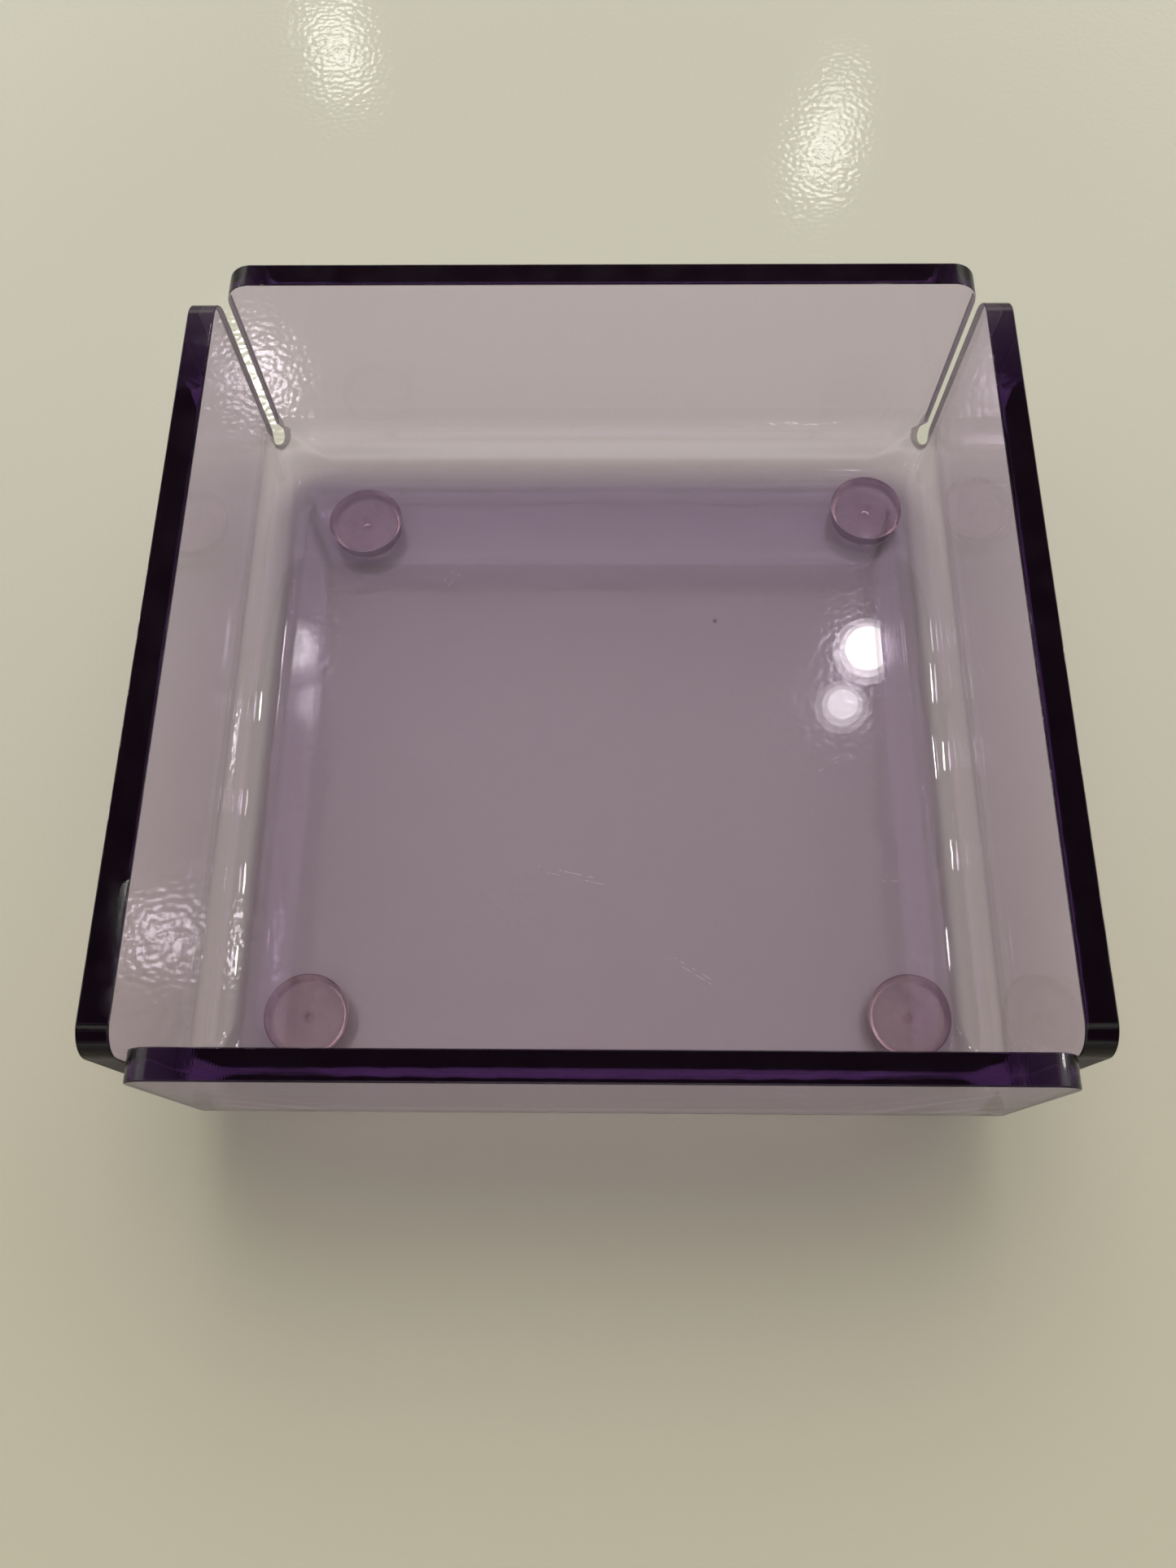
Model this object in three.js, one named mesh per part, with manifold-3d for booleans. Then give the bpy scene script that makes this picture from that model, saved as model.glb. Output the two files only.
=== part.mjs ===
// A square open display tray, bent from one piece of purple tinted acrylic sheet.
// Four walls are folded up from the floor on wide bends. Each corner stays open as a narrow
// slot, which ends in a round relief hole where the two bends run into each other, and below
// that hole the bends close into one soft corner. The tray stands on four clear round bumpers,
// each held by its own disc of adhesive.
// Millimetres, +Z up, +X right, +Y to the back. The origin is on the table, under the centre.

import * as THREE from 'three';
import { mergeVertices } from 'three/addons/utils/BufferGeometryUtils.js';
import Module from 'manifold-3d';

// The bent sheet
const outerWidth = 152.4;
const outerDepth = 150.6;
const bodyHeight = 53.2;
const sheetThickness = 5;
const innerBendRadius = 7.5;
const wallCornerRadius = 5;

// The soft corner under each slot, in plan: at the flat bottom and at the top of the bend
const floorCornerRadius = 8;
const floorCornerRadiusAtBendTop = 0.3;
const undersideCornerRadius = 9.3;
const undersideCornerRadiusAtBendTop = 3.5;

// The relief hole runs square to the sheet, which leans at the corner. The bends have stretched
// it, so it is wider on the outer face, one sheet thickness on, than on the inner face.
const reliefInnerDiameter = 2.8;
const reliefOuterDiameter = 5.4;
const reliefHeight = 10.8;
const reliefTilt = THREE.MathUtils.degToRad(40);

// The bumpers and their adhesive
const bumperDiameter = 16;
const bumperHeight = 4.8;
const bumperSideDraft = 0.25;
const bumperShoulderRadius = 2.6;
const bumperDimpleDiameter = 2.6;
const bumperDimpleDepth = 0.4;
const bumperDimpleSlope = 0.35;
const bumperInset = 20;
const adhesiveThickness = 0.2;
const adhesiveMargin = 0.2;

// The bends were made by hand, so the slots differ from corner to corner. frontOrRearShare of
// the sheet thickness is how far the front or rear wall ends short of the inner face of the
// side wall. sideShare of it is how far the side wall ends short of the inner face of the front
// or rear wall, and it is negative where the side wall runs on past that face, beside the end
// of the other wall.
// The bumpers were stuck on by hand too. Two more shares, of the bumper inset, are the
// distances of a bumper's centre from the nearest outer side face and front or rear face.
const corners = [
  {
    name: 'front_left',
    signX: -1,
    signY: -1,
    frontOrRearShare: 0.34,
    sideShare: -0.26,
    bumperFromSideShare: 1.055,
    bumperFromFrontOrRearShare: 0.935,
  },
  {
    name: 'front_right',
    signX: 1,
    signY: -1,
    frontOrRearShare: 0.03,
    sideShare: -0.04,
    bumperFromSideShare: 0.85,
    bumperFromFrontOrRearShare: 0.96,
  },
  {
    name: 'rear_left',
    signX: -1,
    signY: 1,
    frontOrRearShare: 0.18,
    sideShare: 0.48,
    bumperFromSideShare: 1.225,
    bumperFromFrontOrRearShare: 1.13,
  },
  {
    name: 'rear_right',
    signX: 1,
    signY: 1,
    frontOrRearShare: 0.03,
    sideShare: 0.38,
    bumperFromSideShare: 0.85,
    bumperFromFrontOrRearShare: 0.965,
  },
];

// How far a cutting tool runs past the face that it cuts
const overrun = 2;

// Facets in each round stretch
const bendSteps = 12;
const cornerSteps = 10;
const wallCornerSteps = 10;
const reliefSides = 28;
const shoulderSteps = 6;
const bumperSides = 48;

// What follows from the sizes above
const outerBendRadius = innerBendRadius + sheetThickness;
const undersideLevel = bumperHeight + adhesiveThickness;
const bendLevel = undersideLevel + outerBendRadius;
const rimLevel = undersideLevel + bodyHeight;
const outerX = outerWidth / 2;
const outerY = outerDepth / 2;
const innerX = outerX - sheetThickness;
const innerY = outerY - sheetThickness;

const { Manifold, Mesh } = await loadSolids();

async function loadSolids() {
  const wasm = await Module();
  wasm.setup();
  return wasm;
}

function toSolid(geometry) {
  const bare = geometry.clone();
  bare.deleteAttribute('normal');
  bare.deleteAttribute('uv');
  const welded = mergeVertices(bare);
  const vertProperties = Float32Array.from(welded.attributes.position.array);
  const triVerts = Uint32Array.from(welded.index.array);
  return new Manifold(new Mesh({ numProp: 3, vertProperties, triVerts }));
}

function toGeometry(solid) {
  const { vertProperties, triVerts } = solid.getMesh();
  const geometry = new THREE.BufferGeometry();
  geometry.setAttribute('position', new THREE.BufferAttribute(vertProperties, 3));
  geometry.setIndex(new THREE.BufferAttribute(triVerts, 1));
  geometry.computeVertexNormals();
  return geometry;
}

// The outline of a level slice: a rectangle with round corners, anticlockwise from the right.
function roundedOutline(halfWidth, halfDepth, radius, level) {
  const points = [];
  const quarters = [[1, 1], [-1, 1], [-1, -1], [1, -1]];
  quarters.forEach(([signX, signY], quarter) => {
    for (let step = 0; step <= cornerSteps; step += 1) {
      const angle = (Math.PI / 2) * (quarter + step / cornerSteps);
      const x = signX * (halfWidth - radius) + radius * Math.cos(angle);
      const y = signY * (halfDepth - radius) + radius * Math.sin(angle);
      points.push(new THREE.Vector3(x, y, level));
    }
  });
  return points;
}

// A closed body through a stack of outlines with as many points each, from the lowest up.
function loft(outlines) {
  const count = outlines[0].length;
  const positions = outlines.flat().flatMap((point) => point.toArray());
  const ends = [outlines[0][0].z, outlines.at(-1)[0].z];
  ends.forEach((level) => positions.push(0, 0, level));
  const lowCentre = outlines.length * count;
  const highCentre = lowCentre + 1;
  const lastRing = lowCentre - count;
  const index = [];
  for (let k = 0; k < count; k += 1) {
    const next = (k + 1) % count;
    for (let base = 0; base < lastRing; base += count) {
      index.push(base + k, base + next, base + count + next);
      index.push(base + k, base + count + next, base + count + k);
    }
    index.push(lowCentre, next, k);
    index.push(highCentre, lastRing + k, lastRing + next);
  }
  const geometry = new THREE.BufferGeometry();
  geometry.setAttribute('position', new THREE.Float32BufferAttribute(positions, 3));
  geometry.setIndex(index);
  return geometry;
}

// The two skins of the bent sheet. Each has its walls wallInset inside the outer faces, a flat
// bottom and a bend between them. In plan the radius of its corner runs from cornerRadius at
// the bottom to cornerRadiusAtBendTop, the faster near the top the smaller cornerPower is,
// which keeps the sheet at about one thickness round the soft corner.
const outerSkin = {
  wallInset: 0,
  bendRadius: outerBendRadius,
  cornerRadius: undersideCornerRadius,
  cornerRadiusAtBendTop: undersideCornerRadiusAtBendTop,
  cornerPower: 0.5,
};

const innerSkin = {
  wallInset: sheetThickness,
  bendRadius: innerBendRadius,
  cornerRadius: floorCornerRadius,
  cornerRadiusAtBendTop: floorCornerRadiusAtBendTop,
  cornerPower: 1,
};

function skinOutline(skin, level) {
  const { bendRadius, cornerRadius, cornerRadiusAtBendTop, cornerPower } = skin;
  const drop = Math.min(Math.max(bendLevel - level, 0), bendRadius);
  const bendInset = bendRadius - Math.sqrt(bendRadius ** 2 - drop ** 2);
  const inset = skin.wallInset + bendInset;
  const lowShare = (drop / bendRadius) ** cornerPower;
  const radius = THREE.MathUtils.lerp(cornerRadiusAtBendTop, cornerRadius, lowShare);
  return roundedOutline(outerX - inset, outerY - inset, radius, level);
}

function skinBody(skin, topLevel) {
  const outlines = [];
  for (let step = 0; step <= bendSteps; step += 1) {
    const angle = (Math.PI / 2) * (step / bendSteps);
    outlines.push(skinOutline(skin, bendLevel - skin.bendRadius * Math.cos(angle)));
  }
  outlines.push(skinOutline(skin, topLevel));
  return loft(outlines);
}

// The tools that cut one corner are made for the right rear quarter, where x and y are
// positive, and then mirrored into their own quarter.

// Where the two walls of a corner end, and the middle of the slot between their inner edges.
function cornerPlan({ frontOrRearShare, sideShare }) {
  const setback = frontOrRearShare * sheetThickness;
  const endX = innerX - setback;
  const endY = innerY - sideShare * sheetThickness;
  const slotX = (endX + innerX) / 2;
  const slotY = (Math.min(endY, innerY) + innerY) / 2;
  const reliefStart = new THREE.Vector3(slotX, slotY, undersideLevel + reliefHeight);
  return { setback, endX, endY, reliefStart };
}

// The level direction out of the corner, and the axis of the relief hole, which runs out and
// down, square to the leaning sheet.
const outward = new THREE.Vector3(Math.SQRT1_2, Math.SQRT1_2, 0);
const reliefAxis = outward.clone().multiplyScalar(Math.cos(reliefTilt));
reliefAxis.z = -Math.sin(reliefTilt);

// A block from above the rim down to a sloping foot, which lies along the relief hole.
function slotBlock(fromX, toX, fromY, toY, reliefStart) {
  const height = rimLevel + overrun;
  const block = new THREE.BoxGeometry(toX - fromX, toY - fromY, height);
  block.translate((fromX + toX) / 2, (fromY + toY) / 2, height / 2);
  const places = block.attributes.position;
  const place = new THREE.Vector3();
  for (let k = 0; k < places.count; k += 1) {
    place.fromBufferAttribute(places, k);
    if (place.z < rimLevel) {
      const out = place.sub(reliefStart).dot(outward);
      places.setZ(k, reliefStart.z - out * Math.tan(reliefTilt));
    }
  }
  return block;
}

// The notch outside the two wall ends, and the strip between the end of the front or rear
// wall and the side wall that may run on beside it.
function slotTools({ endX, endY, reliefStart }) {
  const farX = outerX + overrun;
  const farY = outerY + overrun;
  const notch = slotBlock(endX, farX, endY, farY, reliefStart);
  const strip = slotBlock(endX, innerX, innerY - overrun, farY, reliefStart);
  return [notch, strip];
}

// A cone that widens outwards and runs past both faces of the sheet.
function reliefTool({ reliefStart }) {
  const flare = (reliefOuterDiameter - reliefInnerDiameter) / 2;
  const extra = (flare * overrun) / sheetThickness;
  const outerRadius = reliefOuterDiameter / 2 + extra;
  const innerRadius = reliefInnerDiameter / 2 - extra;
  const length = sheetThickness + 2 * overrun;
  const cone = new THREE.CylinderGeometry(outerRadius, innerRadius, length, reliefSides);
  const turn = new THREE.Quaternion();
  turn.setFromUnitVectors(THREE.Object3D.DEFAULT_UP, reliefAxis);
  cone.applyQuaternion(turn);
  const centre = reliefStart.clone().addScaledVector(reliefAxis, sheetThickness / 2);
  cone.translate(centre.x, centre.y, centre.z);
  return cone;
}

// What rounds off the top corner of a wall, seen square to it. The wall ends at end, and the
// tool runs on past that by clearance.
function wallCornerBlock(end, clearance, depth) {
  const centre = end - wallCornerRadius;
  const centreLevel = rimLevel - wallCornerRadius;
  const shape = new THREE.Shape();
  shape.moveTo(end + clearance, centreLevel);
  shape.absarc(centre, centreLevel, wallCornerRadius, 0, Math.PI / 2, false);
  shape.lineTo(centre, rimLevel + overrun);
  shape.lineTo(end + clearance, rimLevel + overrun);
  return new THREE.ExtrudeGeometry(shape, {
    depth,
    bevelEnabled: false,
    curveSegments: wallCornerSteps,
  });
}

// For the front or rear wall the shape lies over X and is pushed along Y. It stops at the
// inner face of the side wall.
function frontOrRearWallTool({ endX, setback }) {
  const depth = sheetThickness + 2 * overrun;
  const tool = wallCornerBlock(endX, setback, depth);
  tool.rotateX(Math.PI / 2);
  tool.translate(0, outerY + overrun, 0);
  return tool;
}

// For the side wall the shape lies over Y and is pushed along X. It starts in the gap between
// the side wall and the end of the front or rear wall.
function sideWallTool({ endY, setback }) {
  const startX = innerX - setback / 2;
  const depth = outerX + overrun - startX;
  const tool = wallCornerBlock(endY, overrun, depth);
  tool.rotateX(Math.PI / 2);
  tool.rotateZ(Math.PI / 2);
  tool.translate(startX, 0, 0);
  return tool;
}

// A copy in another quarter of the tray. One mirror turns the faces inside out, so two corners
// of each face then change places.
function mirrored(geometry, { signX, signY }) {
  const copy = geometry.index ? geometry.toNonIndexed() : geometry.clone();
  copy.scale(signX, signY, 1);
  if (signX === signY) return copy;
  const places = copy.attributes.position;
  const second = new THREE.Vector3();
  const third = new THREE.Vector3();
  for (let k = 0; k < places.count; k += 3) {
    second.fromBufferAttribute(places, k + 1);
    third.fromBufferAttribute(places, k + 2);
    places.setXYZ(k + 1, third.x, third.y, third.z);
    places.setXYZ(k + 2, second.x, second.y, second.z);
  }
  return copy;
}

function cornerTools(corner) {
  const plan = cornerPlan(corner);
  const tools = [
    ...slotTools(plan),
    reliefTool(plan),
    frontOrRearWallTool(plan),
    sideWallTool(plan),
  ];
  return tools.map((tool) => toSolid(mirrored(tool, corner)));
}

function trayBody() {
  const outside = toSolid(skinBody(outerSkin, rimLevel));
  const inside = toSolid(skinBody(innerSkin, rimLevel + overrun));
  let body = outside.subtract(inside);
  for (const tool of corners.flatMap(cornerTools)) {
    body = body.subtract(tool);
  }
  return toGeometry(body);
}

// From the marked middle of the foot, round the soft shoulder, up the side and back over the
// flat top.
function bumperProfile() {
  const topRadius = bumperDiameter / 2;
  const sideRadius = topRadius - bumperSideDraft;
  const footRadius = sideRadius - bumperShoulderRadius;
  const dimpleRadius = bumperDimpleDiameter / 2;
  const points = [
    new THREE.Vector2(0, bumperDimpleDepth),
    new THREE.Vector2(dimpleRadius - bumperDimpleSlope, bumperDimpleDepth),
    new THREE.Vector2(dimpleRadius, 0),
  ];
  for (let step = 0; step <= shoulderSteps; step += 1) {
    const angle = (Math.PI / 2) * (step / shoulderSteps);
    const radius = footRadius + bumperShoulderRadius * Math.sin(angle);
    const level = bumperShoulderRadius * (1 - Math.cos(angle));
    points.push(new THREE.Vector2(radius, level));
  }
  points.push(new THREE.Vector2(topRadius, bumperHeight));
  points.push(new THREE.Vector2(0, bumperHeight));
  return points;
}

function bumper() {
  const geometry = new THREE.LatheGeometry(bumperProfile(), bumperSides);
  geometry.rotateX(Math.PI / 2);
  return geometry;
}

function adhesiveDisc() {
  const radius = bumperDiameter / 2 - adhesiveMargin;
  const geometry = new THREE.CylinderGeometry(radius, radius, adhesiveThickness, bumperSides);
  geometry.rotateX(Math.PI / 2);
  geometry.translate(0, 0, adhesiveThickness / 2);
  return geometry;
}

function tintedAcrylic() {
  return new THREE.MeshStandardMaterial({
    color: 0x8d6f9c,
    roughness: 0.05,
    metalness: 0,
    transparent: true,
    opacity: 0.6,
  });
}

function clearRubber() {
  return new THREE.MeshStandardMaterial({
    color: 0xcdb9b2,
    roughness: 0.25,
    metalness: 0,
    transparent: true,
    opacity: 0.6,
  });
}

function clearAdhesive() {
  return new THREE.MeshStandardMaterial({
    color: 0xd8cdbd,
    roughness: 0.4,
    metalness: 0,
    transparent: true,
    opacity: 0.7,
  });
}

function namedMesh(name, geometry, material) {
  const mesh = new THREE.Mesh(geometry, material);
  mesh.name = name;
  return mesh;
}

function foot(corner) {
  const { name, signX, signY, bumperFromSideShare, bumperFromFrontOrRearShare } = corner;
  const centreX = outerX - bumperFromSideShare * bumperInset;
  const centreY = outerY - bumperFromFrontOrRearShare * bumperInset;
  const group = new THREE.Group();
  group.position.set(signX * centreX, signY * centreY, 0);
  const disc = namedMesh(`adhesive_${name}`, adhesiveDisc(), clearAdhesive());
  disc.position.z = bumperHeight;
  group.add(namedMesh(`bumper_${name}`, bumper(), clearRubber()), disc);
  return group;
}

const displayTray = new THREE.Group();
displayTray.add(namedMesh('tray_body', trayBody(), tintedAcrylic()));
corners.forEach((corner) => displayTray.add(foot(corner)));

export default displayTray;
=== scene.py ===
# A square open display tray bent from one piece of purple tinted acrylic sheet, on four clear
# bumpers. The tray is built here as one smooth closed body: two skins, and along their edge a
# ribbon with softened arrises. Metres, +Z up, +Y to the back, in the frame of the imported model.

import math

import bmesh
import bpy
import numpy as np
from mathutils import Matrix, Vector
from mathutils.geometry import delaunay_2d_cdt


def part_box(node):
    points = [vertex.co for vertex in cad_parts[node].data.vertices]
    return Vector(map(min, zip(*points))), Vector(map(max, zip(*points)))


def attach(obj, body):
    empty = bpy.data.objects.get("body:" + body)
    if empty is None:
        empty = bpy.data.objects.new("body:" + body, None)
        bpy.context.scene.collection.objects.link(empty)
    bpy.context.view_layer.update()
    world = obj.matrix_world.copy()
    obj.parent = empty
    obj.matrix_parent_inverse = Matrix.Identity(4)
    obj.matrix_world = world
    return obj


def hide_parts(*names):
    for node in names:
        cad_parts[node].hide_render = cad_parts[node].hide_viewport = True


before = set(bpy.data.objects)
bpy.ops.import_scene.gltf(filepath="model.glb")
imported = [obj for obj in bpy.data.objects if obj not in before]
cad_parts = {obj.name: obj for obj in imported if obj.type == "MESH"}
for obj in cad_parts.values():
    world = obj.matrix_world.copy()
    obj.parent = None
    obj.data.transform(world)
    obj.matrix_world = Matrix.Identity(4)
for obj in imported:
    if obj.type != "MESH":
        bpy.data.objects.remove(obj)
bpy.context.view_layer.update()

MM = 0.001
QUARTER_TURN = math.pi / 2

# The tray's sizes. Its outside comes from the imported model.
SHEET_THICKNESS = 5 * MM
INNER_BEND_RADIUS = 7.5 * MM
OUTER_BEND_RADIUS = INNER_BEND_RADIUS + SHEET_THICKNESS
# The rounding of each wall's two upper corners
WALL_CORNER_RADIUS = 5 * MM
# The rounding of the sheet's sharp edges: its arrises, and the lip of a relief hole
ARRIS_RADIUS = 0.3 * MM
LIP_RADIUS = 1.4 * MM
# Each skin's corners, seen from above: their radius at the flat floor and at the top of the
# bends, how the one turns into the other, and how much of the way along the walls they take
FLOOR_CORNER_RADIUS = {"inner": 8 * MM, "outer": 9.3 * MM}
TOP_CORNER_RADIUS = {"inner": 0.3 * MM, "outer": 3.5 * MM}
CORNER_POWER = {"inner": 1, "outer": 0.5}
CORNER_LENGTH = {"inner": 4 * MM, "outer": 6 * MM}

TRAY_LOW, TRAY_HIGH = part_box("tray_body")
OUTER_X = TRAY_HIGH[0]
OUTER_Y = TRAY_HIGH[1]
UNDERSIDE = TRAY_LOW[2]
RIM = TRAY_HIGH[2]
INNER_X = OUTER_X - SHEET_THICKNESS
INNER_Y = OUTER_Y - SHEET_THICKNESS
BEND_TOP = UNDERSIDE + OUTER_BEND_RADIUS

# The relief hole where the two bends of a corner meet. Bending the sheet over the hole leaves
# it small inside and stretches it wide outside, as far as the ends of the two walls.
HOLE_LEVEL = 15.8 * MM
HOLE_RADIUS = 1.8 * MM
NECK_ROUNDING = 0.6 * MM
# How far above the bends the slot's straight sides start, and how far below the top of the
# bends the lip has narrowed to an arris and starts to narrow
SLOT_START = 0.5 * MM
LIP_FADE = (0.5 * MM, 2.5 * MM)
STRETCHED_LEVEL = 12.3 * MM
STRETCHED_RADIUS = 3.0 * MM
STRETCHED_TOP = 16.6 * MM

# How far the front or rear wall, and then the side wall, ends short of the other's inner face
SETBACKS = {
    (-1, -1): (1.7 * MM, -1.3 * MM),
    (1, -1): (0.15 * MM, -0.2 * MM),
    (-1, 1): (0.55 * MM, 1.85 * MM),
    (1, 1): (0.05 * MM, 1.65 * MM),
}

# How finely the round parts are divided
BEND_ROWS = {"inner": 48, "outer": 64}
CORNER_COLUMNS = 32
COLUMN_SPACING = 8 * MM
WALL_CORNER_STEPS = 24
HOLE_UPPER_STEPS = 40
HOLE_LOWER_STEPS = 60
RELIEF_STATIONS = 80
ARRIS_STEPS = 8
SLOT_SIDE_STEPS = 16
# How often the edge round a relief hole, and the shift to its inset, are smoothed
SOFTENING = {"sharp": 24, "inset": 40}
# How near to the edge the inner places of a skin may lie
EDGE_ROOM = 0.12 * MM
# How near two places of a skin may lie before they are taken as one, and no length, squared
MERGE_REACH = 1e-9
NO_LENGTH = 1e-18
# How far down a slot its cut is fully rough, and how far into a bend its ripples are full
SLOT_TOP_DEPTH = 7 * MM
BEND_MARGIN = 3 * MM
LATHE_SIDES = 96
LATHE_WELD = 1e-6
SHARP_TURN = math.radians(50)
SHOULDER_STEPS = 16
DIMPLE_STEPS = 8

# The round bumpers and their adhesive. A hair of air keeps the clear pieces apart.
BUMPER_RADIUS = 8 * MM
BUMPER_HEIGHT = 4.8 * MM
BUMPER_DRAFT = 0.25 * MM
BUMPER_SHOULDER = 2.6 * MM
TOP_ARRIS = 0.15 * MM
DIMPLE_RADIUS = 1.3 * MM
DIMPLE_FLAT = 0.3
DIMPLE_DEPTH = 0.4 * MM
# The levels between which the painted shade on a foot's side sets in, and between which it ends
SHOULDER_LEVELS = (0.45 * MM, 1.2 * MM)
TOP_LEVELS = (4.7 * MM, 4.79 * MM)
ADHESIVE_RADIUS = 7.8 * MM
AIR_GAP = 0.01 * MM

# Looks: what a clear piece keeps out of the light, the marks on its surface, and painted shade
ACRYLIC_TINT = (0.42, 0.175, 0.60)
ACRYLIC_DENSITY = 68.0
ACRYLIC_IOR = 1.49
RUBBER_TINT = (0.88, 0.42, 0.28)
RUBBER_DENSITY = 30.0
RUBBER_IOR = 1.41
# A darker spot in the middle of each foot, and where it fades out.
MIDDLE_SPOT_SHADE = (0.8, 0.72, 0.68)
MIDDLE_SPOT_EDGES = (0.2 * DIMPLE_RADIUS, 1.1 * DIMPLE_RADIUS)
# Painted shade: each foot's side is darker and less clear, for the dark ring round the foot.
SHOULDER_PAINTED_SHADE = (0.34, 0.28, 0.29)
SHOULDER_CLEARNESS = 0.3
CUT_ROUGHNESS = 0.5
# Painted shade: the cut faces of the slots and relief holes are darkened, for the dark bands
# beside each slot's light core.
CUT_PAINTED_SHADE = (0.42, 0.40, 0.40)
SPECK_SHADE = (0.2, 0.15, 0.12)
SPECK_NOISE = (2500.0, 2.0)
STRIATION_SCALE = 698.0
STRIATION_DEPTH = 0.006 * MM
# Ripples are fine around a bend and long along it
RIPPLE_SCALES = (900.0, 12.0)
RIPPLE_NOISE = (1.0, 2.0)
RIPPLE_DEPTH = 0.010 * MM
# The adhesive's patches, from dark to pale: a noise and the range of it that counts, and the
# roughness and cover at the ends of that range
ADHESIVE_DARK = (0.70, 0.53, 0.44)
ADHESIVE_PALE = (0.88, 0.74, 0.64)
ADHESIVE_NOISE = (320.0, 3.0)
ADHESIVE_RANGE = (0.35, 0.65)
ADHESIVE_ROUGHNESS = (0.3, 0.6)
ADHESIVE_COVER = (0.06, 0.18)
# Uneven marks: a noise's scale and detail, the range of it that counts, and the strength or
# roughness at the ends of that range
STRIATION_PATCHES = (28.0, 1.0, 0.42, 0.68, 0.08, 1.0)
SCRATCH_PATCHES = (900.0, 1.0, 0.4, 0.6, 0.2, 1.0)
FACE_ROUGHNESS = (60.0, 3.0, 0.5, 0.75, 0.004, 0.012)
EDGE_ROUGHNESS = (240.0, 2.0, 0.3, 0.7, 0.02, 0.05)
RUBBER_ROUGHNESS = (350.0, 3.0, 0.35, 0.7, 0.06, 0.14)
# Each scratch on the tray's floor: its middle, the way it runs and half its length
SCRATCHES = (
    ((-5.4 * MM, -29.3 * MM), -0.21, 9.7 * MM),
    ((46.5 * MM, -5.8 * MM), 0.48, 3.9 * MM),
    ((57.4 * MM, -29.8 * MM), 0.0, 2.2 * MM),
    ((-31 * MM, 38 * MM), 0.9, 6 * MM),
    ((18 * MM, -48 * MM), 2.6, 7 * MM),
)
SCRATCH_WIDTH = 0.09 * MM
SCRATCH_FULL_SHARE = 0.6
SCRATCH_ROUGHNESS = 0.35
SPECK_PLACE = (24.4 * MM, 25.9 * MM, 10 * MM)
SPECK_RADIUS = 0.75 * MM

# The table, the room and its lamps
TABLE_SIZE = 4.0
TABLE_LEVEL = -0.1 * MM
# Painted shade: the table is darker towards the front.
TABLE_BACK = (0.55, 0.545, 0.475)
TABLE_FRONT = (0.455, 0.43, 0.345)
TABLE_BACK_Y = 0.15
TABLE_FRONT_Y = -0.2
TABLE_ROUGHNESS = 0.08
TABLE_PEEL_NOISE = (700.0, 0.0)
TABLE_PEEL_DEPTH = 0.03 * MM
ROOM_WAY = (0.1, 0.5, 0.86)
ROOM_EDGE = -1.0
ROOM_BRIGHT = (0.34, 0.34, 0.31)
ROOM_DARK = (0.18, 0.15, 0.105)
# What the shiny faces show: bright surroundings above a darker horizon, with a dim patch
# overhead and one towards each front corner. The edges of a patch are cosines.
SURROUNDINGS = (1.2, 1.17, 1.05)
HORIZON = (0.32, 0.30, 0.27)
HORIZON_EDGES = (0.1, 0.55)
DIM_PATCH = (0.12, 0.05, 0.11)
DIM_WAY = (0.0, 0.35, 0.93)
DIM_EDGES = (0.72, 0.88)
DIM_SIDES = ((0.6, -0.55, 0.58), (-0.6, -0.55, 0.58))
DIM_SIDE_EDGES = (0.85, 0.94)
# What a mirrored ray meets once it has passed more than two faces of the sheet, as the rays
# that the table mirrors under the tray have
TABLE_GLOSS = (2.4, 2.28, 2.1)
TABLE_GLOSS_DEPTHS = (2.0, 3.0)
BACKGROUND = (0.8, 0.79, 0.74)
# The way to the middle of each soft light, the cosine of its half width, and its colour
SOFT_LIGHTS = (
    ((-0.40, 0.05, 0.90), 0.82, (1.15, 1.12, 1.03)),
    ((0.20, 0.46, 0.86), 0.77, (2.2, 2.14, 1.95)),
    ((-0.05, 0.52, 0.85), 0.90, (5.7, 5.55, 5.05)),
)
LAMP_COLOUR = (1.0, 0.98, 0.92)
# Each ceiling lamp: its place, its width and its brightness. Lamps that lie right behind each
# other make one glint with a soft edge.
CEILING_LAMPS = (
    ((0.73, 1.45, 2.78), 0.120, 9),
    ((0.73, 1.45, 2.79), 0.150, 4),
    ((0.73, 1.45, 2.80), 0.185, 3),
    ((0.65, 1.28, 2.78), 0.080, 3.5),
    ((0.65, 1.28, 2.79), 0.110, 2.5),
    ((0.65, 1.28, 2.80), 0.145, 1.5),
    ((-0.67, 2.69, 1.92), 0.13, 8),
    ((0.56, 2.53, 2.10), 0.13, 9),
    ((0.59, 2.61, 2.02), 0.10, 5),
    ((-1.14, 0.64, 2.80), 0.11, 28),
    ((-0.93, 2.06, 2.38), 0.13, 38),
    ((-1.83, 1.16, 2.31), 0.12, 60),
)
# Narrow upright lamps at the sides, which the bends show as short streaks
SIDE_LAMPS = (
    (2.88, 1.03, 0.69),
    (2.52, 0.83, 1.69),
    (2.46, 0.61, 1.85),
    (2.70, 1.30, 1.10),
    (2.45, 0.35, 1.90),
    (-2.64, 1.47, 0.92),
    (-2.31, 1.35, 1.68),
    (-2.72, 1.16, 1.06),
    (-2.65, 0.90, 1.41),
)
SIDE_LAMP_SIZE = (0.07, 0.30)
SIDE_LAMP_BRIGHTNESS = 32

# The camera, as worked out from the photo
CAMERA_PLACE = (1.24 * MM, -96.567 * MM, 234.94 * MM)
CAMERA_YAW = -0.0375
CAMERA_PITCH = 1.2066
CAMERA_ROLL = -0.0319
CAMERA_SENSOR = 36
CAMERA_LENS = 27.68
CAMERA_CLIP = 10 * MM


def smooth_step(low, high, value):
    """0 at or before low, 1 at or past high, and a soft change between."""
    share = min(max((value - low) / (high - low), 0), 1)
    return share * share * (3 - 2 * share)


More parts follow.
